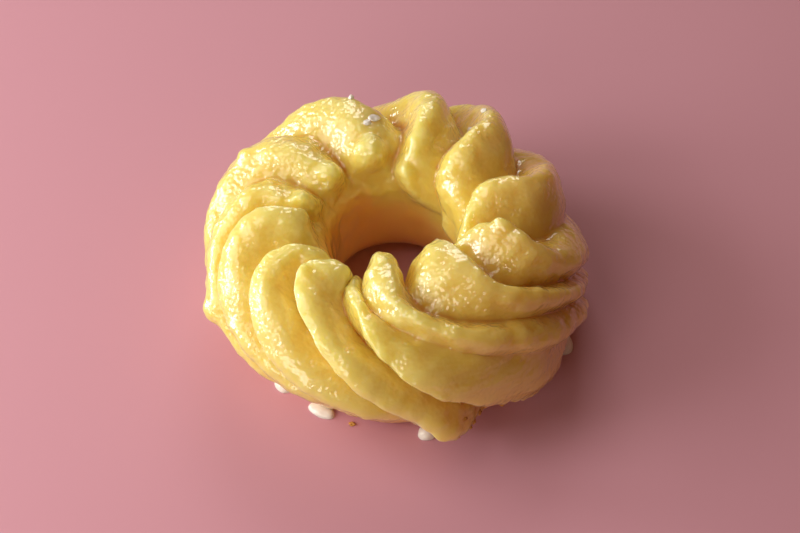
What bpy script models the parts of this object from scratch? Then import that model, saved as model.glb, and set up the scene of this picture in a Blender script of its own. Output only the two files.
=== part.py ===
"""Glazed French cruller: one ring of piped choux dough with thirteen deep spiral ridges.

Metres, +Z up. The ring lies flat on Z = 0, centred on the origin. Its section is a tube whose outline
changes round the ring. Angles round the section start where the dough faces the hole: 0 faces the hole,
90 is the top, 180 faces outward and 270 is underneath. Angles round the ring run anticlockwise from +X.
"""

import math
from collections import namedtuple

import bmesh
import bpy
import numpy as np
from mathutils import Matrix

MM = 0.001

# Driving dimensions, in millimetres.
RING_RADIUS = 24.6  # from the ring's axis to the tube's centre
TUBE_HEIGHT = 17.0  # the tube's centre above the table
FOOT_BLEND = 0.6  # how softly the sides turn into the flat foot
WALL_RIPPLE = 0.35  # how far the ridges still show on the wall of the hole
TROUGH_LIMIT = 3.0  # how far a trough may stand out from the plain dough
SLUMP = (2.2, 1.6)  # the lower outside sags this far along X and Y
CREST_SOFTNESS = 1.1  # how round a crest is
LUMP_FULLNESS = 1.3  # under 1 for a ball, over 1 for a mound
PLAIN_RADIUS = 10.0  # of the plain tube before it is shaped

# How the ridges run where they don't show, in degrees.
UNDER_SLOPE = 0.62  # turn for each degree of lap, underneath
UNDER_FADE = 60.0  # the run underneath levels off over this
BEND_FADE = 12.0  # a ridge's own slope bends into it over this
INNER_SWING = 9.0  # how far a tip's own slope carries on down the hole's wall
EVEN_BELOW = (5.0, 65.0)  # this far below the hole's middle the ridges space out evenly
JOIN = (243.0, 340.0)  # between these the outer and the inner run blend into each other

# Where round the section a change starts and ends, in degrees.
RIPPLE_SPAN = (-30.0, 10.0)  # the ridges start to show on the hole's wall
TIP_SPAN = (-16.0, 3.0)  # a ridge rises, counted from its tip
FADE_SPAN = (192.0, 234.0)  # the ridges fade out below
END_SPAN = (66.0, 96.0)  # the shape of a ridge's tip gives way to the shape of its side
SAG_START = (160.0, 225.0)
SAG_END = (236.0, 268.0)

# The mesh: columns go round the ring, with one exactly on each crest, and rows round the section.
COLUMNS_PER_RIDGE = 8
ROWS = 46
FIRST_ROW = -90.0
CROWDING = 0.1  # how much the columns crowd towards each crest and trough

# The plain dough under the ridges, as angle round the section and distance from the tube's centre.
DOUGH_ANGLES = (-90, -70, -50, -20, 0, 20, 40, 60, 90, 180, 205, 225, 243, 255, 270)
DOUGH_RADII = (18.4, 17.8, 15.8, 11.8, 10.7, 10.8, 11.8, 13.0, 14.0, 15.2, 15.8, 17.8, 19.0, 18.7, 18.4)

# How fully the troughs are cut, round the section: not at all on the underside and the hole's wall.
CUT_ANGLES = (-90, 10, 45, 60, 180, 215, 240, 270)
CUT_SHARES = (0.0, 0.0, 0.6, 1.0, 1.0, 0.7, 0.0, 0.0)

# Each ridge's values are read along the section, at these angles.
TURN_ANGLES = (25, 50, 70, 90, 110, 130, 150, 180)
CREST_ANGLES = (30, 50, 70, 90, 130, 150, 180, 205)
TROUGH_ANGLES = (60, 90, 115, 145, 195)

# turns: where the crest is, in degrees round the ring
# tip: where round the section the ridge starts on the hole's wall
# crests: the crest's distance from the tube's centre
# shares: how far the trough is on the way to the next ridge, anticlockwise
# troughs: the trough's distance from the tube's centre
# fall, rise, end: (roundness, steepness) of the side after the crest, of the side before it, and at the tip
Ridge = namedtuple("Ridge", "turns tip crests shares troughs fall rise end")
RIDGES = (
    Ridge((-16, -4, 14, 16, 15, 21, 29, 41), 32, (13.0, 16.5, 18.4, 18.6, 18.4, 18.2, 17.6, 17.2),
          (0.38, 0.30, 0.28, 0.42, 0.42), (14.2, 12.4, 10.5, 13.0, 13.0),
          (1.6, 1.2), (1.35, 1.25), (1.6, 1.0)),
    Ridge((31, 42, 49, 50, 50, 54, 62, 84), 14, (13.2, 16.4, 18.2, 18.8, 20.2, 19.6, 18.0, 17.2),
          (0.38, 0.32, 0.32, 0.42, 0.42), (15.0, 13.0, 10.5, 13.0, 13.0),
          (1.6, 1.2), (1.35, 1.25), (1.6, 1.0)),
    Ridge((62, 79, 78, 77, 76, 77, 81, 104), 28, (13.5, 16.0, 18.0, 19.0, 19.8, 18.4, 17.4, 17.0),
          (0.40, 0.26, 0.42, 0.50, 0.50), (13.5, 13.5, 11.5, 12.5, 12.5),
          (1.6, 1.2), (1.4, 1.25), (1.6, 1.0)),
    Ridge((112, 112, 110, 110, 111, 120, 131, 158), 60, (12.0, 14.2, 16.4, 18.0, 20.2, 19.0, 18.0, 17.0),
          (0.50, 0.55, 0.58, 0.60, 0.60), (12.4, 13.4, 15.2, 14.5, 14.5),
          (1.8, 1.5), (1.7, 1.3), (2.2, 1.2)),
    Ridge((141, 141, 142, 142, 143, 146, 156, 184), 62, (12.0, 14.2, 16.0, 16.9, 19.4, 19.6, 17.8, 17.0),
          (0.46, 0.48, 0.54, 0.62, 0.62), (12.4, 13.2, 14.6, 15.0, 15.0),
          (1.8, 1.5), (1.9, 1.5), (2.2, 1.2)),
    Ridge((167, 168, 169, 169, 169, 175, 187, 212), 64, (12.0, 14.2, 16.2, 16.6, 18.2, 18.6, 18.8, 17.4),
          (0.55, 0.62, 0.66, 0.76, 0.76), (13.0, 13.8, 14.0, 14.0, 14.0),
          (1.8, 1.3), (1.9, 1.5), (2.2, 1.2)),
    Ridge((180, 180, 181, 181, 182, 190, 201, 230), 72, (12.0, 14.0, 16.5, 17.8, 18.5, 18.4, 17.8, 16.2),
          (0.70, 0.80, 0.84, 0.86, 0.86), (13.5, 12.5, 12.0, 13.0, 13.0),
          (1.9, 1.1), (1.8, 1.0), (1.9, 0.9)),
    Ridge((216, 214, 210, 205, 206, 214, 225, 254), 62, (12.0, 14.5, 16.5, 17.4, 18.3, 18.4, 18.0, 16.4),
          (0.75, 0.83, 0.88, 0.90, 0.90), (14.0, 12.5, 11.0, 12.5, 12.5),
          (1.9, 1.1), (1.8, 0.8), (1.9, 0.8)),
    Ridge((238, 237, 232, 221, 228, 243, 256, 273), 72, (12.0, 16.0, 18.4, 18.6, 18.6, 18.4, 19.0, 20.2),
          (0.66, 0.74, 0.84, 0.88, 0.45), (14.0, 13.0, 10.5, 12.5, 13.5),
          (2.2, 1.1), (1.8, 0.7), (3.5, 0.6)),
    Ridge((239, 240, 244, 251, 258, 265, 275, 295), 62, (12.0, 14.0, 15.4, 16.6, 17.8, 18.0, 18.4, 18.4),
          (0.30, 0.25, 0.60, 0.72, 0.72), (14.0, 15.0, 15.5, 16.0, 16.0),
          (1.7, 1.4), (1.7, 1.0), (1.7, 0.9)),
    Ridge((256, 257, 261, 268, 281, 298, 314, 336), 46, (17.0, 20.4, 20.0, 19.0, 18.4, 18.4, 18.6, 18.4),
          (0.30, 0.28, 0.42, 0.52, 0.52), (13.5, 13.5, 13.5, 15.0, 15.0),
          (1.8, 1.3), (1.6, 1.5), (3.4, 0.55)),
    Ridge((312, 319, 315, 312, 316, 326, 336, 349), 42, (17.0, 20.8, 20.0, 19.0, 18.4, 18.2, 17.8, 17.4),
          (0.14, 0.20, 0.27, 0.37, 0.37), (13.5, 13.0, 12.5, 14.5, 14.5),
          (1.7, 1.3), (1.6, 1.6), (2.8, 0.8)),
    Ridge((322, 328, 344, 345, 341, 343, 349, 363), 44, (14.0, 17.0, 18.6, 18.8, 18.3, 18.2, 17.6, 17.2),
          (0.32, 0.26, 0.26, 0.42, 0.42), (13.0, 12.0, 11.5, 14.0, 14.0),
          (1.6, 1.2), (1.4, 1.3), (1.7, 1.0)),
)

# Rounded lumps where the piping started, stopped or bulged.
Lump = namedtuple("Lump", "turn lap reach radius height")
LUMPS = (
    Lump(107, 67, 16.8, 5.0, 3.0),
    Lump(139, 66, 16.2, 4.2, 2.0),
    Lump(151, 135, 19.2, 2.8, 1.3),
    Lump(170, 75, 16.8, 3.6, 1.5),
    Lump(222, 96, 18.4, 2.2, 1.0),
    Lump(238, 76, 17.4, 2.4, 0.8),
    Lump(299, 60, 20.6, 4.0, 1.0),
    Lump(257, 60, 20.6, 3.4, 0.6),
    Lump(347, 86, 18.4, 2.8, 2.0),
    Lump(84, 49, 15.6, 3.4, 1.6),
    Lump(78, 37, 14.0, 3.2, 1.4),
    Lump(203, 174, 19.0, 3.4, 1.6),
    Lump(197, 195, 18.0, 10.0, 2.0),
    Lump(281, 204, 18.8, 9.0, 2.6),
    Lump(20, 184, 17.0, 9.0, 1.0),
    Lump(10, 140, 16.0, 5.0, 0.5),
    Lump(318, 200, 17.5, 14.0, 2.0),
)

GLAZE_COLOUR = (0.72, 0.46, 0.11, 1.0)
GLAZE_ROUGHNESS = 0.3


def smooth_step(value, low, high):
    """0 at low and 1 at high, with no corner at either."""
    share = np.clip((value - low) / (high - low), 0.0, 1.0)
    return share * share * (3.0 - 2.0 * share)


def curve_through(angles, values, lap):
    """A smooth curve through the values, read at each angle of lap and level beyond both ends."""
    angles = np.asarray(angles, float)
    values = np.asarray(values, float)
    slopes = np.gradient(values, angles)
    lap = np.clip(lap, angles[0], angles[-1])
    span = np.clip(np.searchsorted(angles, lap, side="right") - 1, 0, len(angles) - 2)
    width = angles[span + 1] - angles[span]
    way = (lap - angles[span]) / width
    back = 1.0 - way
    through = values[span] * back * back * (1.0 + 2.0 * way)
    through += values[span + 1] * way * way * (1.0 + 2.0 * back)
    through += width * way * back * (slopes[span] * back - slopes[span + 1] * way)
    return through


def level_off(past, fade):
    """Grows like past at first, and never beyond fade."""
    return fade * (1.0 - np.exp(-past / fade))


def crest_turns(index, lap):
    """Where ridge number index is round the ring. It spaces out evenly and unwinds where it doesn't show."""
    turns = RIDGES[index].turns
    outside = np.where(lap < 90.0, lap + 360.0, lap)
    inside = outside - 360.0
    slope = (turns[-1] - turns[-2]) / (TURN_ANGLES[-1] - TURN_ANGLES[-2])
    past = np.maximum(outside - TURN_ANGLES[-1], 0.0)
    outer = curve_through(TURN_ANGLES, turns, outside)
    outer += UNDER_SLOPE * level_off(past, UNDER_FADE)
    outer += (slope - UNDER_SLOPE) * level_off(past, BEND_FADE)
    slope = (turns[1] - turns[0]) / (TURN_ANGLES[1] - TURN_ANGLES[0])
    past = np.maximum(TURN_ANGLES[0] - inside, 0.0)
    inner = curve_through(TURN_ANGLES, turns, inside)
    inner -= slope * INNER_SWING * (1.0 - np.exp(-past / BEND_FADE))
    tops = [ridge.turns[TURN_ANGLES.index(90)] for ridge in RIDGES]
    middle = (len(RIDGES) - 1) / 2.0
    even = sum(tops) / len(tops) + (index - middle) * 360.0 / len(RIDGES)
    inner += (even - inner) * smooth_step(-inside, *EVEN_BELOW)
    return outer + (inner - outer) * smooth_step(outside, *JOIN)


def crest_radii(ridge, dough, lap):
    """The crest's distance from the tube's centre: it rises from the wall at its tip and fades out below."""
    wall = dough + WALL_RIPPLE * smooth_step(lap, *RIPPLE_SPAN) * (lap < 90.0)
    crest = np.maximum(curve_through(CREST_ANGLES, ridge.crests, lap), wall)
    shown = smooth_step(lap - ridge.tip, *TIP_SPAN) * (1.0 - smooth_step(lap, *FADE_SPAN))
    return wall + (crest - wall) * shown


def trough_radii(ridge, dough, lap):
    """The distance from the tube's centre of the trough that follows this ridge."""
    trough = np.minimum(curve_through(TROUGH_ANGLES, ridge.troughs, lap), dough + TROUGH_LIMIT)
    return dough + (trough - dough) * np.interp(lap, CUT_ANGLES, CUT_SHARES)


def side_shape(outer, end, lap):
    """(roundness, steepness) along the section, which changes from a ridge's side to its tip."""
    at_tip = 1.0 - smooth_step(lap, *END_SPAN)
    return [side + (tip - side) * at_tip for side, tip in zip(outer, end)]


def ease_crest(way, width):
    """The way from crest to trough, 0 to 1, slowed down next to the crest so that the crest is round."""
    soft = CREST_SOFTNESS / np.maximum(width, CREST_SOFTNESS)
    return (np.sqrt(way * way + soft * soft) - soft) / (np.sqrt(1.0 + soft * soft) - soft)


def ridge_sides(lap):
    """Every column's place round the ring, in degrees, and its distance from the tube's centre."""
    dough = curve_through(DOUGH_ANGLES, DOUGH_RADII, lap)
    crests = [crest_radii(ridge, dough, lap) for ridge in RIDGES]
    turns = [crest_turns(index, lap) for index in range(len(RIDGES))]
    places = []
    radii = []
    for index, ridge in enumerate(RIDGES):
        following = (index + 1) % len(RIDGES)
        next_turn = turns[following] + (360.0 if following == 0 else 0.0)
        share = curve_through(TROUGH_ANGLES, ridge.shares, lap)
        trough_turn = turns[index] + share * (next_turn - turns[index])
        low = np.minimum.reduce([trough_radii(ridge, dough, lap), crests[index], crests[following]])
        for column in range(COLUMNS_PER_RIDGE):
            way = 2.0 * column / COLUMNS_PER_RIDGE
            falling = way < 1.0
            start, high = (turns[index], crests[index]) if falling else (next_turn, crests[following])
            side = ridge.fall if falling else RIDGES[following].rise
            end = ridge.end if falling else RIDGES[following].end
            way = min(way, 2.0 - way)
            way -= CROWDING * math.sin(2.0 * math.pi * way)
            roundness, steepness = side_shape(side, end, lap)
            eased = ease_crest(way, np.radians(np.abs(trough_turn - start)) * RING_RADIUS)
            places.append(start + way * (trough_turn - start))
            radii.append(low + (high - low) * (1.0 - eased**roundness) ** steepness)
    return np.array(places), np.array(radii)


def on_tube(turn, lap, radius):
    """The point at these angles, in degrees, and this distance from the tube's centre."""
    turn = np.radians(turn)
    lap = np.radians(lap)
    outward = RING_RADIUS - radius * np.cos(lap)
    return np.stack([outward * np.cos(turn), outward * np.sin(turn), TUBE_HEIGHT + radius * np.sin(lap)], -1)


def add_lumps(places, lap, radii):
    for lump in LUMPS:
        offsets = on_tube(places, lap, radii) - on_tube(lump.turn, lump.lap, lump.reach)
        near = np.sum(offsets**2, axis=-1) / lump.radius**2
        radii = radii + lump.height * np.clip(1.0 - near, 0.0, 1.0) ** LUMP_FULLNESS
    return radii


def flatten_foot(heights):
    """Everything below the table comes up to it, through a short curve."""
    curved = (heights + FOOT_BLEND) ** 2 / (4.0 * FOOT_BLEND)
    return np.where(heights > FOOT_BLEND, heights, np.where(heights > -FOOT_BLEND, curved, 0.0))


def cruller_points():
    """Every point in metres, as columns, rows and X, Y, Z, centred over the origin."""
    rows = FIRST_ROW + 360.0 / ROWS * np.arange(ROWS)
    places, radii = ridge_sides(rows)
    lap = np.broadcast_to(rows, places.shape)
    points = on_tube(places, lap, add_lumps(places, lap, radii))
    points[..., 2] = flatten_foot(points[..., 2])
    sag = smooth_step(rows, *SAG_START) - smooth_step(rows, *SAG_END)
    points[..., 0] += SLUMP[0] * sag
    points[..., 1] += SLUMP[1] * sag
    corners = points.reshape(-1, 3)
    middle = (corners.min(axis=0) + corners.max(axis=0)) / 2.0
    points[..., :2] -= middle[:2]
    return points * MM


def spin_ring():
    """A plain ring, with a column of vertices at every step round it."""
    mesh = bmesh.new()
    upright = Matrix.Translation((RING_RADIUS, 0.0, 0.0)) @ Matrix.Rotation(math.pi / 2.0, 4, "X")
    bmesh.ops.create_circle(mesh, segments=ROWS, radius=PLAIN_RADIUS, matrix=upright)
    columns = COLUMNS_PER_RIDGE * len(RIDGES)
    bmesh.ops.spin(mesh, geom=mesh.verts[:] + mesh.edges[:], axis=(0.0, 0.0, 1.0), angle=2.0 * math.pi,
                   steps=columns, use_merge=True)
    bmesh.ops.recalc_face_normals(mesh, faces=mesh.faces)
    return mesh


def make_cruller():
    mesh = spin_ring()
    points = cruller_points()
    columns = len(points)
    for vertex in mesh.verts:
        outward = math.hypot(vertex.co.x, vertex.co.y)
        turn = math.degrees(math.atan2(vertex.co.y, vertex.co.x))
        lap = math.degrees(math.atan2(vertex.co.z, RING_RADIUS - outward))
        column = round(turn * columns / 360.0) % columns
        row = round((lap - FIRST_ROW) * ROWS / 360.0) % ROWS
        vertex.co = points[column, row]
    data = bpy.data.meshes.new("cruller")
    mesh.to_mesh(data)
    mesh.free()
    data.shade_smooth()
    return data


def glaze_material():
    material = bpy.data.materials.new("glazed_choux")
    material.use_nodes = True
    shader = material.node_tree.nodes["Principled BSDF"]
    shader.inputs["Base Color"].default_value = GLAZE_COLOUR
    shader.inputs["Roughness"].default_value = GLAZE_ROUGHNESS
    shader.inputs["Metallic"].default_value = 0.0
    return material


def clear_scene():
    for old in list(bpy.data.objects):
        bpy.data.objects.remove(old, do_unlink=True)


clear_scene()
cruller = bpy.data.objects.new("cruller", make_cruller())
cruller.data.materials.append(glaze_material())
bpy.context.scene.collection.objects.link(cruller)
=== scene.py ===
import math
from collections import namedtuple

import bmesh
import bpy
import numpy as np
from mathutils import Matrix, Vector, noise


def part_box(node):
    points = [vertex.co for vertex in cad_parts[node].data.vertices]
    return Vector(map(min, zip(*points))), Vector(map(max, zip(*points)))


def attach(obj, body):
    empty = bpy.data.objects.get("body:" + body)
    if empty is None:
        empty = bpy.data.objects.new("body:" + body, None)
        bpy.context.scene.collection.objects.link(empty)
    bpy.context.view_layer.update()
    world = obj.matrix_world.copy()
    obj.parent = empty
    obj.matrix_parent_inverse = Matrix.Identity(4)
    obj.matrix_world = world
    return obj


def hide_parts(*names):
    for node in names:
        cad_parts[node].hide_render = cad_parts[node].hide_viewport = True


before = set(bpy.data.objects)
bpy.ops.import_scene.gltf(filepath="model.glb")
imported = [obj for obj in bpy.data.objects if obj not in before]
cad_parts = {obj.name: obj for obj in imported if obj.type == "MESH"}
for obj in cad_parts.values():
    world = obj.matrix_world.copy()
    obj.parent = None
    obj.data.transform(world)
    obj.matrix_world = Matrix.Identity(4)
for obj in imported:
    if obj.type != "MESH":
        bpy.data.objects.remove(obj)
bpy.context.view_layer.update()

mm = 0.001
print("frame loaded")

# Laps are degrees round the section: 0 faces the hole, 90 is the top, 180 faces outward and 270 is
# underneath. Turns are degrees round the ring, anticlockwise from +X. A span is where a change starts
# and where it is complete.

dough = {
    "ringRadius": 24.6,  # mm, from the ring's axis to the tube's centre
    "tubeHeight": 17.0,  # mm above the table
    "footBlend": 0.6,  # mm, how softly the sides turn into the flat foot
    "wallRipple": 0.35,  # mm, how far the ridges still show on the wall of the hole
    "troughLimit": 3.0,  # mm, how far a trough may stand out from the plain dough
    "crestSoftness": 1.1,  # mm, how round a crest is
    "lumpFullness": 1.3,  # under 1 for a ball, over 1 for a mound
    "slump": (2.2, 1.6),  # mm that the lower outside sags along X and Y
    "sagStart": (160.0, 225.0),  # the spans round the section where the sag comes and goes
    "sagEnd": (236.0, 268.0),
    "rippleSpan": (-30.0, 10.0),  # the ridges start to show on the hole's wall
    "tipSpan": (-16.0, 3.0),  # a ridge rises, counted from its tip
    "fadeSpan": (192.0, 234.0),  # the ridges fade out below
    "endSpan": (66.0, 96.0),  # the shape of a tip gives way to the shape of a side
}

running = {  # how the ridges run where they don't show
    "underSlope": 0.62,  # turn for each degree of lap, underneath
    "underFade": 60.0,  # degrees in which that run levels off
    "bendFade": 12.0,  # degrees in which a ridge's own slope bends into it
    "innerSwing": 9.0,  # degrees that a tip's slope carries on down the hole's wall
    "evenBelow": (5.0, 65.0),  # degrees below the hole's middle where the ridges space out evenly
    "join": (243.0, 340.0),  # the span where the outer and the inner run blend
}

grid = {  # columns go round the ring, with one exactly on each crest, and rows round the section
    "columnsPerRidge": 32,
    "crowding": 0.1,  # how much the columns crowd towards each crest and trough
    "rows": 236,
    "firstRow": -90.0,
    "leastDensity": 0.35,  # of the rows where the dough doesn't show, against 1 where it does
    "denseStart": (-20.0, 25.0),
    "denseEnd": (225.0, 250.0),
    "steps": 720,  # in which the density is added up
}

# The plain dough under the ridges: mm from the tube's centre, by lap. Then how fully troughs are cut.
doughAngles = (-90, -70, -50, -20, 0, 20, 40, 60, 90, 180, 205, 225, 243, 255, 270)
doughRadii = (18.4, 17.8, 15.8, 11.8, 10.7, 10.8, 11.8, 13.0, 14.0, 15.2, 15.8, 17.8, 19.0, 18.7, 18.4)
cutAngles = (-90, 10, 45, 60, 180, 215, 240, 270)
cutShares = (0.0, 0.0, 0.6, 1.0, 1.0, 0.7, 0.0, 0.0)

# Each ridge's values are read along the section, at these laps.
turnAngles = (25, 50, 70, 90, 110, 130, 150, 180)
crestAngles = (30, 50, 70, 90, 130, 150, 180, 205)
troughAngles = (60, 90, 115, 145, 195)

# turns: where the crest is; tip: the lap where the ridge starts on the hole's wall
# crests and troughs: mm from the tube's centre; shares: where the trough is on the way to the next ridge
# fall, rise and end: roundness and steepness of the side after the crest, before it, and at the tip
Ridge = namedtuple("Ridge", "turns tip crests shares troughs fall rise end")
ridges = (
    Ridge((-16, -4, 14, 16, 15, 21, 29, 41), 32, (13.0, 16.5, 18.4, 18.6, 18.4, 18.2, 17.6, 17.2),
          (0.38, 0.30, 0.28, 0.42, 0.42), (14.2, 12.4, 10.5, 13.0, 13.0),
          (1.6, 1.2), (1.35, 1.25), (1.6, 1.0)),
    Ridge((31, 42, 49, 50, 50, 54, 62, 84), 14, (13.2, 16.4, 18.2, 18.8, 20.2, 19.6, 18.0, 17.2),
          (0.38, 0.32, 0.32, 0.42, 0.42), (15.0, 13.0, 10.5, 13.0, 13.0),
          (1.6, 1.2), (1.35, 1.25), (1.6, 1.0)),
    Ridge((62, 79, 78, 77, 76, 77, 81, 104), 28, (13.5, 16.0, 18.0, 19.0, 19.8, 18.4, 17.4, 17.0),
          (0.40, 0.26, 0.42, 0.50, 0.50), (13.5, 13.5, 11.5, 12.5, 12.5),
          (1.6, 1.2), (1.4, 1.25), (1.6, 1.0)),
    Ridge((112, 112, 110, 110, 111, 120, 131, 158), 60, (12.0, 14.2, 16.4, 18.0, 20.2, 19.0, 18.0, 17.0),
          (0.50, 0.55, 0.58, 0.60, 0.60), (12.4, 13.4, 15.2, 14.5, 14.5),
          (1.8, 1.5), (1.7, 1.3), (2.2, 1.2)),
    Ridge((141, 141, 142, 142, 143, 146, 156, 184), 62, (12.0, 14.2, 16.0, 16.9, 19.4, 19.6, 17.8, 17.0),
          (0.46, 0.48, 0.54, 0.62, 0.62), (12.4, 13.2, 14.6, 15.0, 15.0),
          (1.8, 1.5), (1.9, 1.5), (2.2, 1.2)),
    Ridge((167, 168, 169, 169, 169, 175, 187, 212), 64, (12.0, 14.2, 16.2, 16.6, 18.2, 18.6, 18.8, 17.4),
          (0.55, 0.62, 0.66, 0.76, 0.76), (13.0, 13.8, 14.0, 14.0, 14.0),
          (1.8, 1.3), (1.9, 1.5), (2.2, 1.2)),
    Ridge((180, 180, 181, 181, 182, 190, 201, 230), 72, (12.0, 14.0, 16.5, 17.8, 18.5, 18.4, 17.8, 16.2),
          (0.70, 0.80, 0.84, 0.86, 0.86), (13.5, 12.5, 12.0, 13.0, 13.0),
          (1.9, 1.1), (1.8, 1.0), (1.9, 0.9)),
    Ridge((216, 214, 210, 205, 206, 214, 225, 254), 62, (12.0, 14.5, 16.5, 17.4, 18.3, 18.4, 18.0, 16.4),
          (0.75, 0.83, 0.88, 0.90, 0.90), (14.0, 12.5, 11.0, 12.5, 12.5),
          (1.9, 1.1), (1.8, 0.8), (1.9, 0.8)),
    Ridge((238, 237, 232, 221, 228, 243, 256, 273), 72, (12.0, 16.0, 18.4, 18.6, 18.6, 18.4, 19.0, 20.2),
          (0.66, 0.74, 0.84, 0.88, 0.45), (14.0, 13.0, 10.5, 12.5, 13.5),
          (2.2, 1.1), (1.8, 0.7), (3.5, 0.6)),
    Ridge((239, 240, 244, 251, 258, 265, 275, 295), 62, (12.0, 14.0, 15.4, 16.6, 17.8, 18.0, 18.4, 18.4),
          (0.30, 0.25, 0.60, 0.72, 0.72), (14.0, 15.0, 15.5, 16.0, 16.0),
          (1.7, 1.4), (1.7, 1.0), (1.7, 0.9)),
    Ridge((256, 257, 261, 268, 281, 298, 314, 336), 46, (17.0, 20.4, 20.0, 19.0, 18.4, 18.4, 18.6, 18.4),
          (0.30, 0.28, 0.42, 0.52, 0.52), (13.5, 13.5, 13.5, 15.0, 15.0),
          (1.8, 1.3), (1.6, 1.5), (3.4, 0.55)),
    Ridge((312, 319, 315, 312, 316, 326, 336, 349), 42, (17.0, 20.8, 20.0, 19.0, 18.4, 18.2, 17.8, 17.4),
          (0.14, 0.20, 0.27, 0.37, 0.37), (13.5, 13.0, 12.5, 14.5, 14.5),
          (1.7, 1.3), (1.6, 1.6), (2.8, 0.8)),
    Ridge((322, 328, 344, 345, 341, 343, 349, 363), 44, (14.0, 17.0, 18.6, 18.8, 18.3, 18.2, 17.6, 17.2),
          (0.32, 0.26, 0.26, 0.42, 0.42), (13.0, 12.0, 11.5, 14.0, 14.0),
          (1.6, 1.2), (1.4, 1.3), (1.7, 1.0)),
)

# Rounded lumps where the piping started, stopped or bulged: reach, radius and height in mm.
Lump = namedtuple("Lump", "turn lap reach radius height")
lumps = (
    Lump(107, 67, 16.8, 5.0, 3.0),
    Lump(139, 66, 16.2, 4.2, 2.0),
    Lump(151, 135, 19.2, 2.8, 1.3),
    Lump(170, 75, 16.8, 3.6, 1.5),
    Lump(222, 96, 18.4, 2.2, 1.0),
    Lump(238, 76, 17.4, 2.4, 0.8),
    Lump(299, 60, 20.6, 4.0, 1.0),
    Lump(257, 60, 20.6, 3.4, 0.6),
    Lump(347, 86, 18.4, 2.8, 2.0),
    Lump(84, 49, 15.6, 3.4, 1.6),
    Lump(78, 37, 14.0, 3.2, 1.4),
    Lump(203, 174, 19.0, 3.4, 1.6),
    Lump(197, 195, 18.0, 10.0, 2.0),
    Lump(281, 204, 18.8, 9.0, 2.6),
    Lump(20, 184, 17.0, 9.0, 1.0),
    Lump(10, 140, 16.0, 5.0, 0.5),
    Lump(318, 200, 17.5, 14.0, 2.0),
)


def smoothStep(value, low, high):
    share = np.clip((value - low) / (high - low), 0.0, 1.0)
    return share * share * (3.0 - 2.0 * share)


def between(value, start, end):  # 0 before the first span and after the second, 1 from one to the other
    return smoothStep(value, *start) * (1.0 - smoothStep(value, *end))


def curveThrough(angles, values, lap):  # smooth through the values, level beyond both ends
    angles = np.asarray(angles, float)
    values = np.asarray(values, float)
    slopes = np.gradient(values, angles)
    lap = np.clip(lap, angles[0], angles[-1])
    span = np.clip(np.searchsorted(angles, lap, side="right") - 1, 0, len(angles) - 2)
    width = angles[span + 1] - angles[span]
    way = (lap - angles[span]) / width
    back = 1.0 - way
    through = values[span] * back * back * (1.0 + 2.0 * way)
    through += values[span + 1] * way * way * (1.0 + 2.0 * back)
    through += width * way * back * (slopes[span] * back - slopes[span + 1] * way)
    return through


def levelOff(past, fade):  # grows like past at first, and never beyond fade
    return fade * (1.0 - np.exp(-past / fade))


def crestTurns(index, lap):  # where a ridge is round the ring; it unwinds where it doesn't show
    turns = ridges[index].turns
    outside = np.where(lap < 90.0, lap + 360.0, lap)
    inside = outside - 360.0
    slope = (turns[-1] - turns[-2]) / (turnAngles[-1] - turnAngles[-2])
    past = np.maximum(outside - turnAngles[-1], 0.0)
    outer = curveThrough(turnAngles, turns, outside)
    outer += running["underSlope"] * levelOff(past, running["underFade"])
    outer += (slope - running["underSlope"]) * levelOff(past, running["bendFade"])
    slope = (turns[1] - turns[0]) / (turnAngles[1] - turnAngles[0])
    past = np.maximum(turnAngles[0] - inside, 0.0)
    inner = curveThrough(turnAngles, turns, inside)
    inner -= slope * running["innerSwing"] * (1.0 - np.exp(-past / running["bendFade"]))
    tops = [ridge.turns[turnAngles.index(90)] for ridge in ridges]
    middle = (len(ridges) - 1) / 2.0
    even = sum(tops) / len(tops) + (index - middle) * 360.0 / len(ridges)
    inner += (even - inner) * smoothStep(-inside, *running["evenBelow"])
    return outer + (inner - outer) * smoothStep(outside, *running["join"])


def crestRadii(ridge, plain, lap):
    wall = plain + dough["wallRipple"] * smoothStep(lap, *dough["rippleSpan"]) * (lap < 90.0)
    crest = np.maximum(curveThrough(crestAngles, ridge.crests, lap), wall)
    shown = smoothStep(lap - ridge.tip, *dough["tipSpan"]) * (1.0 - smoothStep(lap, *dough["fadeSpan"]))
    return wall + (crest - wall) * shown


def troughRadii(ridge, plain, lap):
    trough = np.minimum(curveThrough(troughAngles, ridge.troughs, lap), plain + dough["troughLimit"])
    return plain + (trough - plain) * np.interp(lap, cutAngles, cutShares)


def sideShape(side, end, lap):  # roundness and steepness, which change from a ridge's side to its tip
    atTip = 1.0 - smoothStep(lap, *dough["endSpan"])
    return [outer + (tip - outer) * atTip for outer, tip in zip(side, end)]


def easeCrest(way, width):  # the way from crest to trough, slowed down next to the crest
    soft = dough["crestSoftness"] / np.maximum(width, dough["crestSoftness"])
    return (np.sqrt(way * way + soft * soft) - soft) / (np.sqrt(1.0 + soft * soft) - soft)


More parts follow.
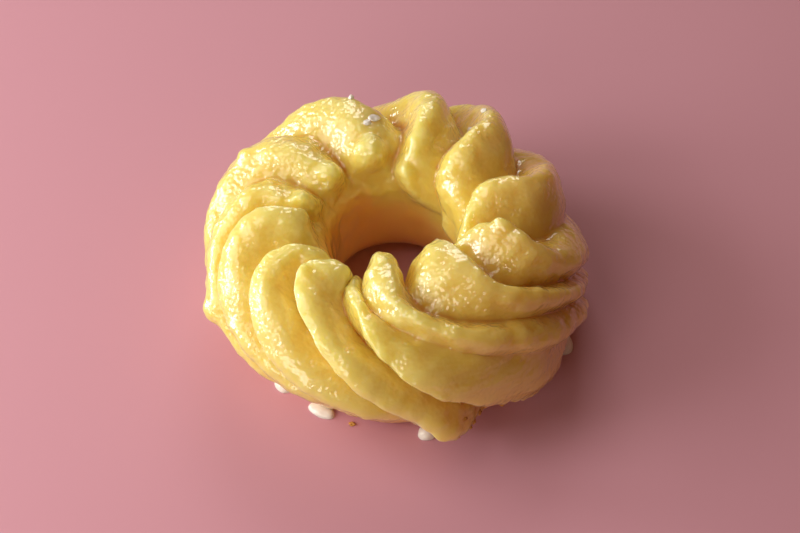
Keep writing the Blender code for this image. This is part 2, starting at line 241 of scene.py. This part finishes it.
def ridgeSides(lap):  # every column's turn, and its distance from the tube's centre
    plain = curveThrough(doughAngles, doughRadii, lap)
    crests = [crestRadii(ridge, plain, lap) for ridge in ridges]
    turns = [crestTurns(index, lap) for index in range(len(ridges))]
    places = []
    radii = []
    for index, ridge in enumerate(ridges):
        following = (index + 1) % len(ridges)
        nextTurn = turns[following] + (360.0 if following == 0 else 0.0)
        share = curveThrough(troughAngles, ridge.shares, lap)
        troughTurn = turns[index] + share * (nextTurn - turns[index])
        low = np.minimum.reduce([troughRadii(ridge, plain, lap), crests[index], crests[following]])
        for column in range(grid["columnsPerRidge"]):
            way = 2.0 * column / grid["columnsPerRidge"]
            falling = way < 1.0
            start, high = (turns[index], crests[index]) if falling else (nextTurn, crests[following])
            side = ridge.fall if falling else ridges[following].rise
            end = ridge.end if falling else ridges[following].end
            way = min(way, 2.0 - way)
            way -= grid["crowding"] * math.sin(2.0 * math.pi * way)
            roundness, steepness = sideShape(side, end, lap)
            eased = easeCrest(way, np.radians(np.abs(troughTurn - start)) * dough["ringRadius"])
            places.append(start + way * (troughTurn - start))
            radii.append(low + (high - low) * (1.0 - eased**roundness) ** steepness)
    return np.array(places), np.array(radii)


def onTube(turn, lap, radius):
    turn = np.radians(turn)
    lap = np.radians(lap)
    outward = dough["ringRadius"] - radius * np.cos(lap)
    up = dough["tubeHeight"] + radius * np.sin(lap)
    return np.stack([outward * np.cos(turn), outward * np.sin(turn), up], -1)


def addLumps(places, lap, radii):
    for lump in lumps:
        offsets = onTube(places, lap, radii) - onTube(lump.turn, lump.lap, lump.reach)
        near = np.sum(offsets**2, axis=-1) / lump.radius**2
        radii = radii + lump.height * np.clip(1.0 - near, 0.0, 1.0) ** dough["lumpFullness"]
    return radii


def flattenFoot(heights):
    soft = dough["footBlend"]
    curved = (heights + soft) ** 2 / (4.0 * soft)
    return np.where(heights > soft, heights, np.where(heights > -soft, curved, 0.0))


def rowLaps():  # rows are closer together where the dough shows
    steps = np.linspace(grid["firstRow"], grid["firstRow"] + 360.0, grid["steps"] + 1)
    density = between(steps, grid["denseStart"], grid["denseEnd"])
    density = grid["leastDensity"] + (1.0 - grid["leastDensity"]) * density
    total = np.concatenate([[0.0], np.cumsum((density[1:] + density[:-1]) / 2.0)])
    wanted = np.linspace(0.0, total[-1], grid["rows"] + 1)[:-1]
    return np.interp(wanted, total, steps)


def surfaceNormals(points):  # outward, from the neighbours round the ring and round the section
    around = np.roll(points, -1, axis=0) - np.roll(points, 1, axis=0)
    along = np.roll(points, -1, axis=1) - np.roll(points, 1, axis=1)
    normals = np.cross(along, around)
    return normals / np.maximum(np.linalg.norm(normals, axis=-1, keepdims=True), 1e-9)


lumpiness = {
    "swells": (8.5, 0.55),  # mm across, mm high
    "dimples": (3.2, 0.36),
    "grain": (1.8, 0.19),
    "leastStrength": 0.35,  # of all three on the hole's wall and underneath
    "fullStart": (0.0, 40.0),
    "fullEnd": (205.0, 240.0),
    "ragged": (1.6, 0.6),  # mm across and mm high, the torn crust round the foot
    "raggedStart": (188.0, 205.0),
    "raggedEnd": (225.0, 240.0),
    "tornFrom": (276.0, 292.0),  # the turns between which the crust is torn most
    "tornTo": (318.0, 332.0),
    "leastTorn": 0.4,
    "creaseSpan": (0.5, 1.8),  # mm deep, where the rounding starts and where it is full
    "creasePasses": 24,  # how much the bottoms of the valleys are rounded
    "levelPasses": (160, 40),  # round the ring and round the section, what a hollow is measured from
    "seedSteps": (17.3, 5.1, 9.7),  # how far apart in the noise two seeds are
    "raggedSeed": 5,
}


def noiseAt(points, size, seed):  # smooth noise between about -1 and 1, in lumps of that size in mm
    shift = Vector([seed * step for step in lumpiness["seedSteps"]])
    flat = [noise.noise(Vector(point) / size + shift) for point in points.reshape(-1, 3)]
    return np.array(flat).reshape(points.shape[:-1])


def smoothed(values, axis, passes):
    for _ in range(passes):
        values = (np.roll(values, 1, axis=axis) + np.roll(values, -1, axis=axis) + 2.0 * values) / 4.0
    return values


def hollowness(points):  # above 0 where the dough lies lower than what is round it, in mm
    level = points
    for axis, passes in enumerate(lumpiness["levelPasses"]):
        level = smoothed(level, axis, passes)
    return np.sum((level - points) * surfaceNormals(points), axis=-1)


def roundCreases(points):  # lets the valleys' bottoms sink into a soft curve
    weight = smoothStep(hollowness(points), *lumpiness["creaseSpan"])[..., None]
    for _ in range(lumpiness["creasePasses"]):
        beside = np.roll(points, 1, axis=0) + np.roll(points, -1, axis=0)
        beside += np.roll(points, 1, axis=1) + np.roll(points, -1, axis=1)
        points = points + (beside / 4.0 - points) * weight
    return points


def roughen(points, places, lap):  # swells, dimples and grain all over, then the torn crust at the foot
    normals = surfaceNormals(points)
    full = between(lap, lumpiness["fullStart"], lumpiness["fullEnd"])
    share = lumpiness["leastStrength"] + (1.0 - lumpiness["leastStrength"]) * full
    for seed, name in enumerate(("swells", "dimples", "grain"), 1):
        size, height = lumpiness[name]
        points = points + normals * (noiseAt(points, size, seed) * height * share)[..., None]
    size, height = lumpiness["ragged"]
    torn = lumpiness["leastTorn"] + between(places % 360.0, lumpiness["tornFrom"], lumpiness["tornTo"])
    torn = torn * height * between(lap, lumpiness["raggedStart"], lumpiness["raggedEnd"])
    return points + normals * (noiseAt(points, size, lumpiness["raggedSeed"]) * torn)[..., None]


Skin = namedtuple("Skin", "points normals hollow places lap")  # the dough's surface as columns and rows


def crullerSkin():  # points in metres, where the CAD solid is
    rows = rowLaps()
    places, radii = ridgeSides(rows)
    lap = np.broadcast_to(rows, places.shape)
    points = onTube(places, lap, addLumps(places, lap, radii))
    sag = smoothStep(rows, *dough["sagStart"]) - smoothStep(rows, *dough["sagEnd"])
    points[..., 0] += dough["slump"][0] * sag
    points[..., 1] += dough["slump"][1] * sag
    points = roughen(roundCreases(points), places, lap)
    hollow = hollowness(points)
    points[..., 2] = flattenFoot(points[..., 2])
    points = points * mm
    low, high = (np.array(corner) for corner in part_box("cruller"))
    corners = points.reshape(-1, 3)
    points[..., :2] += (low + high)[:2] / 2.0 - (corners.min(axis=0) + corners.max(axis=0))[:2] / 2.0
    return Skin(points, surfaceNormals(points), hollow, places, lap)


def newPiece(name, mesh, material):
    data = bpy.data.meshes.new(name)
    mesh.to_mesh(data)
    mesh.free()
    data.shade_smooth()
    data.materials.append(material)
    piece = bpy.data.objects.new(name, data)
    bpy.context.scene.collection.objects.link(piece)
    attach(piece, "root")
    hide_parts("cruller")
    return piece


def hexColour(code):  # sRGB hex to the linear colour that a shader reads
    parts = [int(code[start:start + 2], 16) / 255.0 for start in (1, 3, 5)]
    linear = [part / 12.92 if part <= 0.04045 else ((part + 0.055) / 1.055) ** 2.4 for part in parts]
    return (*linear, 1.0)


def addNode(tree, kind, settings=(), links=()):
    node = tree.nodes.new(kind)
    for name, value in dict(settings).items():
        if isinstance(name, int) or name in node.inputs:
            node.inputs[name].default_value = value
        else:
            setattr(node, name, value)
    for name, source in dict(links).items():
        tree.links.new(source, node.inputs[name])
    return node


def newMaterial(name, finish):  # with the values that are the same all over the surface
    material = bpy.data.materials.new(name)
    material.use_nodes = True
    shader = material.node_tree.nodes["Principled BSDF"]
    for socket, value in finish.items():
        shader.inputs[socket].default_value = value
    return material, material.node_tree, shader


glaze = {
    "crest": "#f1e084",  # paler on the crests: painted sheen, and partly the thinner glaze there
    "body": "#e9d166",
    # darker in the valleys: painted crease shade, and partly the thicker glaze there
    "valley": "#e2b04c",
    # painted shade for the side turned from the light and the outer side, partly a browner crust there
    "browningAndShade": "#cf9038",
    "wall": "#f7c064",
    "raised": (-1.1, 0.0),  # hollowness in mm, from the crest's painted sheen to the body's colour
    "sunk": (0.8, 2.7),  # hollowness in mm, from the body's colour to the valley's painted shade
    "speck": (1.0, 0.35),  # mm across, and mm that it shifts those levels
    "blotch": (7.14, 0.45),
    "wallReach": (-45.0, 2.0),  # laps from a ridge's tip, where the wall's colour starts to go and is gone
    "underside": (215.0, 240.0),  # takes the wall's colour too
    "outerBrowningAndShade": 0.1,  # how much darker the dough gets down its outer side: painted shade, partly a browner crust
    "outerDarkeningSpan": (110.0, 190.0),
    "shadedSide": 352.0,  # the turn of the side turned from the light, where the painted shade is darkest
    "shadedWidth": (0.5, 1.0),  # 0 across the ring from that turn, 1 at it
    "shadedSpan": (45.0, 125.0),
    "shadeMost": 0.5,
    "grain": 0.95,  # mm across, the sugar skin's fine bumps
    "grainHeight": 0.46,  # mm
    "crustHeight": 0.13,  # mm, of the same bumps in the dough under the sugar
    "patch": 6.25,  # mm across, where the sugar skin is rougher or smoother
    "patchEdge": (0.42, 0.58),
    "patchStrength": (0.35, 1.0),
    "sugarStart": (25.0, 60.0),  # the sugar ran off the hole's wall, and partly off the outer side
    "sugarEnd": (150.0, 200.0),
    "sugarLost": 0.4,
    "finish": {
        "Roughness": 0.32,
        "IOR": 1.45,
        "Subsurface Weight": 1.0,
        "Subsurface Radius": (1.0, 0.85, 0.42),
        "Subsurface Scale": 0.008,
        "Coat Weight": 1.0,
        "Coat Roughness": 0.07,
        "Coat IOR": 1.7,  # above sugar's 1.5, to bring its small glints out
    },
}
usualNoise = (0.3, 0.7)  # what a noise pattern's values mostly lie between


def glazeLayers(skin):  # what the material reads at each point: shares, the painted shade's among them, and how hollow it is in mm
    tips = np.repeat([ridge.tip for ridge in ridges], grid["columnsPerRidge"])[:, None]
    tips = smoothed(tips, 0, 2 * grid["columnsPerRidge"])
    wall = 1.0 - smoothStep(skin.lap - tips, *glaze["wallReach"]) + smoothStep(skin.lap, *glaze["underside"])
    # painted shade: darker down the outer side and on the side turned from the light; the outer part is
    # partly a browner crust too
    outerBrowningAndShade = glaze["outerBrowningAndShade"] * smoothStep(skin.lap, *glaze["outerDarkeningSpan"])
    facing = 0.5 + 0.5 * np.cos(np.radians(skin.places - glaze["shadedSide"]))
    sideShade = glaze["shadeMost"] * smoothStep(facing, *glaze["shadedWidth"])
    sideShade = sideShade * smoothStep(skin.lap, *glaze["shadedSpan"])
    left = 1.0 - glaze["sugarLost"] * smoothStep(skin.lap, *glaze["sugarEnd"])
    return {
        "hollow": skin.hollow,
        "wall": np.clip(wall, 0.0, 1.0),
        "browningAndShade": 1.0 - (1.0 - outerBrowningAndShade) * (1.0 - sideShade),
        "sugar": smoothStep(skin.lap, *glaze["sugarStart"]) * left,
    }


def glazeColour(tree, place, layers):  # crest to body to valley by height, with painted sheen on the crests and painted shade in the valleys, then the painted shade of the outer and shaded sides, then the wall
    level = layers["hollow"]
    for name, detail, roughness in (("speck", 2.0, 0.5), ("blotch", 5.0, 0.6)):
        size, depth = glaze[name]
        pattern = addNode(tree, "ShaderNodeTexNoise", {
            "Scale": 1.0 / (size * mm), "Detail": detail, "Roughness": roughness,
        }, place)
        shift = addNode(tree, "ShaderNodeMapRange", {
            "From Min": usualNoise[0], "From Max": usualNoise[1], "To Min": -depth, "To Max": depth,
        }, {"Value": pattern.outputs["Fac"]})
        level = addNode(tree, "ShaderNodeMath", {"operation": "ADD"},
                        {0: level, 1: shift.outputs["Result"]}).outputs["Value"]
    shares = []
    # painted sheen where the dough stands up, painted shade where it lies hollow
    for low, high in (glaze["raised"], glaze["sunk"]):
        share = addNode(tree, "ShaderNodeMapRange", {"From Min": low, "From Max": high}, {"Value": level})
        shares.append(share.outputs["Result"])
    colour = addNode(tree, "ShaderNodeMix", {
        "data_type": "RGBA", 6: hexColour(glaze["crest"]), 7: hexColour(glaze["body"]),
    }, {"Factor": shares[0]}).outputs[2]
    for name, share in (("valley", shares[1]), ("browningAndShade", layers["browningAndShade"]), ("wall", layers["wall"])):
        colour = addNode(tree, "ShaderNodeMix", {"data_type": "RGBA", 7: hexColour(glaze[name])},
                         {"Factor": share, 6: colour}).outputs[2]
    return colour


def glazedChoux():  # deep-fried choux dough, pale gold inside a clear sugar glaze that set wet and glossy
    material, tree, shader = newMaterial("glazedChoux", glaze["finish"])
    place = {"Vector": addNode(tree, "ShaderNodeTexCoord").outputs["Object"]}
    layers = {}
    for name in ("hollow", "wall", "browningAndShade", "sugar"):
        layers[name] = addNode(tree, "ShaderNodeAttribute", {"attribute_name": name}).outputs["Fac"]
    tree.links.new(glazeColour(tree, place, layers), shader.inputs["Base Color"])
    grain = addNode(tree, "ShaderNodeTexNoise", {"Scale": 1.0 / (glaze["grain"] * mm), "Detail": 0.0}, place)
    patch = addNode(tree, "ShaderNodeTexNoise", {"Scale": 1.0 / (glaze["patch"] * mm), "Detail": 2.0}, place)
    rough = addNode(tree, "ShaderNodeMapRange", {
        "From Min": glaze["patchEdge"][0], "From Max": glaze["patchEdge"][1],
        "To Min": glaze["patchStrength"][0], "To Max": glaze["patchStrength"][1],
    }, {"Value": patch.outputs["Fac"]})
    bubbled = addNode(tree, "ShaderNodeMath", {"operation": "MULTIPLY"},
                      {0: rough.outputs["Result"], 1: layers["sugar"]})
    for target, height in (("Normal", glaze["crustHeight"]), ("Coat Normal", glaze["grainHeight"])):
        bump = addNode(tree, "ShaderNodeBump", {"Distance": height * mm},
                       {"Height": grain.outputs["Fac"], "Strength": bubbled.outputs["Value"]})
        tree.links.new(bump.outputs["Normal"], shader.inputs[target])
    return material


def makeCruller(skin):  # a flat grid, rolled up into the ring, whose two seams are then merged
    columns, rows = skin.hollow.shape
    mesh = bmesh.new()
    bmesh.ops.create_grid(mesh, x_segments=columns, y_segments=rows, size=1.0)
    layers = glazeLayers(skin)
    written = {name: mesh.verts.layers.float.new(name) for name in layers}
    for vert in mesh.verts:
        column = round((vert.co.x + 1.0) / 2.0 * columns) % columns
        row = round((vert.co.y + 1.0) / 2.0 * rows) % rows
        vert.co = skin.points[column, row]
        for name, layer in written.items():
            vert[layer] = layers[name][column, row]
    bmesh.ops.remove_doubles(mesh, verts=mesh.verts, dist=1e-7)
    bmesh.ops.recalc_face_normals(mesh, faces=mesh.faces)
    return newPiece("crullerDough", mesh, glazedChoux())


blobs = {"fineness": 1.4, "seedSteps": (3.7, 1.9, 7.3)}  # of the noise that makes them uneven


def addBlob(mesh, transform, roughness, seed, detail=3):  # a ball of unit radius, roughened, then placed
    added = bmesh.ops.create_icosphere(mesh, subdivisions=detail, radius=1.0)["verts"]
    shift = Vector([seed * step for step in blobs["seedSteps"]])
    for vert in added:
        vert.co *= 1.0 + roughness * noise.noise(vert.co * blobs["fineness"] + shift)
    bmesh.ops.transform(mesh, matrix=transform, verts=added)
    return added


def restOnTable(verts):  # what would reach below the table is pressed flat
    for vert in verts:
        vert.co.z = max(vert.co.z, 0.0)


def sizedTo(*lengths):  # half length, half width and height in mm
    return Matrix.Diagonal((*(length * mm for length in lengths), 1.0))


def turnGap(places, turn):
    return np.abs((places - turn + 180.0) % 360.0 - 180.0)


def onDough(skin, turn, lap):  # a frame that stands on the dough there
    gap = turnGap(skin.places, turn) + np.abs(skin.lap - lap)
    spot = np.unravel_index(np.argmin(gap), gap.shape)
    up = Vector(skin.normals[spot])
    side = Vector((-math.sin(math.radians(turn)), math.cos(math.radians(turn)), 0.0))
    side = (side - up * side.dot(up)).normalized()
    standing = Matrix((side, up.cross(side), up)).transposed().to_4x4()
    standing.translation = Vector(skin.points[spot])
    return standing


foot = {"width": 2.5, "height": 3.0}  # degrees either way and mm up, where its reach is read


def besideFoot(skin, turn, out):  # a frame on the table, that many mm out from the dough's foot
    near = (turnGap(skin.places, turn) < foot["width"]) & (skin.points[..., 2] < foot["height"] * mm)
    reach = np.hypot(skin.points[..., 0], skin.points[..., 1])[near].max() + out * mm
    angle = math.radians(turn)
    spot = Vector((reach * math.cos(angle), reach * math.sin(angle), 0.0))
    return Matrix.Translation(spot) @ Matrix.Rotation(angle + math.pi / 2.0, 4, "Z")


setSugar = {  # a little light goes into it and comes back white
    "cloud": 1.43,  # mm across, where it set clearer or whiter
    "cloudHeight": 0.12,  # mm
    "clearShade": 0.82,  # the clearer places' colour against the whiter ones'
    "finish": {
        "IOR": 1.49,
        "Subsurface Weight": 0.3,
        "Subsurface Radius": (1.0, 0.9, 0.8),
        "Subsurface Scale": 0.0008,
    },
}


def setSugarMaterial(name, look):  # sugar that ran off and set, cloudy white with a soft shine
    material, tree, shader = newMaterial(name, {**setSugar["finish"], "Roughness": look["roughness"]})
    place = {"Vector": addNode(tree, "ShaderNodeTexCoord").outputs["Object"]}
    scale = 1.0 / (setSugar["cloud"] * mm)
    cloud = addNode(tree, "ShaderNodeTexNoise", {"Scale": scale, "Detail": 3.0}, place)
    white = hexColour(look["colour"])
    clear = (*(part * setSugar["clearShade"] for part in white[:3]), 1.0)
    tint = addNode(tree, "ShaderNodeMix", {"data_type": "RGBA", 6: clear, 7: white},
                   {"Factor": cloud.outputs["Fac"]})
    tree.links.new(tint.outputs[2], shader.inputs["Base Color"])
    bump = addNode(tree, "ShaderNodeBump", {"Distance": setSugar["cloudHeight"] * mm},
                   {"Height": cloud.outputs["Fac"]})
    tree.links.new(bump.outputs["Normal"], shader.inputs["Normal"])
    return material


icing = {
    "colour": "#fbf6ea",
    "roughness": 0.25,
    # turn, mm out from the dough's foot, then half length, half width and height in mm
    "drops": (
        (221, 0.2, 2.4, 1.9, 1.5),
        (240, -0.6, 3.2, 1.9, 1.2),
        (281, 0.4, 2.1, 1.9, 1.8),
        (343, 2.5, 2.0, 1.9, 4.4),
    ),
    "dropUnevenness": 0.12,
    # turn, lap, then half length, half width and height in mm
    "pools": ((58, 121, 1.5, 1.0, 0.5), (108, 115, 0.6, 0.6, 0.9), (57, 128, 0.8, 0.7, 0.5)),
    "poolUnevenness": 0.35,
}


def makeIcing(skin):
    mesh = bmesh.new()
    for seed, (turn, out, *lengths) in enumerate(icing["drops"]):
        beside = besideFoot(skin, turn, out) @ sizedTo(*lengths)
        restOnTable(addBlob(mesh, beside, icing["dropUnevenness"], seed, 4))
    for seed, (turn, lap, *lengths) in enumerate(icing["pools"], 10):
        addBlob(mesh, onDough(skin, turn, lap) @ sizedTo(*lengths), icing["poolUnevenness"], seed)
    return newPiece("icingDrops", mesh, setSugarMaterial("sugarIcing", icing))


flakes = {
    "colour": "#fffaf0",
    "roughness": 0.2,
    # turn, lap, then half length, half width and height in mm
    "places": ((101, 97, 1.9, 1.2, 0.5), (105, 92, 1.1, 0.8, 0.4), (323, 212, 1.3, 0.8, 0.4)),
    "tilt": 0.2,  # radians up from the dough, and turned on it
    "twist": 0.7,
    "unevenness": 0.3,
}


def makeFlakes(skin):
    mesh = bmesh.new()
    turned = Matrix.Rotation(flakes["tilt"], 4, "X") @ Matrix.Rotation(flakes["twist"], 4, "Z")
    for seed, (turn, lap, *lengths) in enumerate(flakes["places"], 20):
        addBlob(mesh, onDough(skin, turn, lap) @ turned @ sizedTo(*lengths), flakes["unevenness"], seed, 4)
    return newPiece("sugarFlakes", mesh, setSugarMaterial("sugarFlake", flakes))


crumbs = {
    "pale": "#dba850",
    "dark": "#b87a30",
    "speck": 1.11,  # mm across
    "speckHeight": 0.2,  # mm
    "roughness": 0.6,
    "count": 26,
    "size": (0.25, 0.6),  # mm
    "shape": (1.0, 0.8, 0.7),  # of that size
    "turns": (284.0, 302.0),  # where they cling
    "laps": (188.0, 212.0),
    "unevenness": 0.9,
    "seed": 4,
    "fallen": (253.0, 0.3, 0.7, 0.5, 0.5),  # one on the table: turn, mm out from the foot, and its size
    "fallenUnevenness": 0.8,
}


def toastedCrumb():  # the fried crust's loose crumbs, dry and a little browner than the dough
    material, tree, shader = newMaterial("toastedCrumb", {"Roughness": crumbs["roughness"]})
    place = {"Vector": addNode(tree, "ShaderNodeTexCoord").outputs["Object"]}
    scale = 1.0 / (crumbs["speck"] * mm)
    speck = addNode(tree, "ShaderNodeTexNoise", {"Scale": scale, "Detail": 4.0}, place)
    tint = addNode(tree, "ShaderNodeMix", {
        "data_type": "RGBA", 6: hexColour(crumbs["dark"]), 7: hexColour(crumbs["pale"]),
    }, {"Factor": speck.outputs["Fac"]})
    tree.links.new(tint.outputs[2], shader.inputs["Base Color"])
    bump = addNode(tree, "ShaderNodeBump", {"Distance": crumbs["speckHeight"] * mm},
                   {"Height": speck.outputs["Fac"]})
    tree.links.new(bump.outputs["Normal"], shader.inputs["Normal"])
    return material


def makeCrumbs(skin):
    mesh = bmesh.new()
    chance = np.random.default_rng(crumbs["seed"])
    for seed in range(crumbs["count"]):
        size = chance.uniform(*crumbs["size"])
        shape = sizedTo(*(size * part for part in crumbs["shape"]))
        turn, lap = chance.uniform(*crumbs["turns"]), chance.uniform(*crumbs["laps"])
        addBlob(mesh, onDough(skin, turn, lap) @ shape, crumbs["unevenness"], seed, 2)
    turn, out, *lengths = crumbs["fallen"]
    fallen = besideFoot(skin, turn, out) @ sizedTo(*lengths)
    restOnTable(addBlob(mesh, fallen, crumbs["fallenUnevenness"], 3))
    return newPiece("crustCrumbs", mesh, toastedCrumb())


studio = {
    "target": (0.0007, 0.0, 0.015),  # m, where the camera and the lights aim
    "distance": 0.42,  # m
    "elevation": 52.0,  # degrees
    "lens": 85.0,  # mm
    "tableSize": 1.5,  # m from its middle to each side
    "tableColour": "#cb92a1",
    "roomColour": "#ffb878",
    "roomStrength": 0.12,
    # name, place in m, width and height in m, watts and colour
    "lights": (
        ("frontPane", (-0.52, -0.10, 0.26), 0.23, 0.26, 1.68, "#fffdfa"),
        ("backPane", (-0.50, 0.16, 0.25), 0.18, 0.22, 1.1, "#fffdfa"),
        ("overhead", (-0.24, -0.04, 0.36), 0.30, 0.30, 0.50, "#fff7ec"),
        ("frontFill", (-0.20, -0.36, 0.22), 0.24, 0.20, 0.52, "#fff7ec"),
        ("backFill", (0.0, 0.42, 0.34), 0.25, 0.25, 0.75, "#fdfaf4"),
    ),
}


def paintedTable():  # matt painted board, a plain pale rose with almost no shine
    finish = {"Base Color": hexColour(studio["tableColour"]), "Roughness": 0.75}
    return newMaterial("paintedTable", finish)[0]


def makeFloor():
    mesh = bmesh.new()
    bmesh.ops.create_grid(mesh, x_segments=1, y_segments=1, size=studio["tableSize"])
    data = bpy.data.meshes.new("table")
    mesh.to_mesh(data)
    mesh.free()
    data.materials.append(paintedTable())
    table = bpy.data.objects.new("table", data)
    bpy.context.scene.collection.objects.link(table)


def aim(thing):
    towards = Vector(studio["target"]) - thing.location
    thing.rotation_euler = towards.to_track_quat("-Z", "Y").to_euler()


def addLight(name, place, width, height, watts, colour):
    lamp = bpy.data.lights.new(name, "AREA")
    lamp.shape = "RECTANGLE"
    lamp.size = width
    lamp.size_y = height
    lamp.energy = watts
    lamp.color = hexColour(colour)[:3]
    light = bpy.data.objects.new(name, lamp)
    light.location = place
    aim(light)
    bpy.context.scene.collection.objects.link(light)


def makeCamera():
    lens = bpy.data.cameras.new("camera")
    lens.lens = studio["lens"]
    lens.clip_start = 0.01
    camera = bpy.data.objects.new("camera", lens)
    tilt = math.radians(studio["elevation"])
    back = Vector((0.0, -math.cos(tilt), math.sin(tilt))) * studio["distance"]
    camera.location = Vector(studio["target"]) + back
    aim(camera)
    bpy.context.scene.collection.objects.link(camera)
    bpy.context.scene.camera = camera


def makeRoom():  # the warm light that the room gives back from all round
    room = bpy.data.worlds.new("room")
    room.use_nodes = True
    background = room.node_tree.nodes["Background"]
    background.inputs["Color"].default_value = hexColour(studio["roomColour"])
    background.inputs["Strength"].default_value = studio["roomStrength"]
    bpy.context.scene.world = room
    bpy.context.scene.view_settings.view_transform = "Standard"


skin = crullerSkin()
makeCruller(skin)
print("dough ring made")
for make in (makeIcing, makeFlakes, makeCrumbs):
    make(skin)
print("icing, flakes and crumbs made")

makeFloor()
for light in studio["lights"]:
    addLight(*light)
makeCamera()
makeRoom()
print("table, light and camera placed")
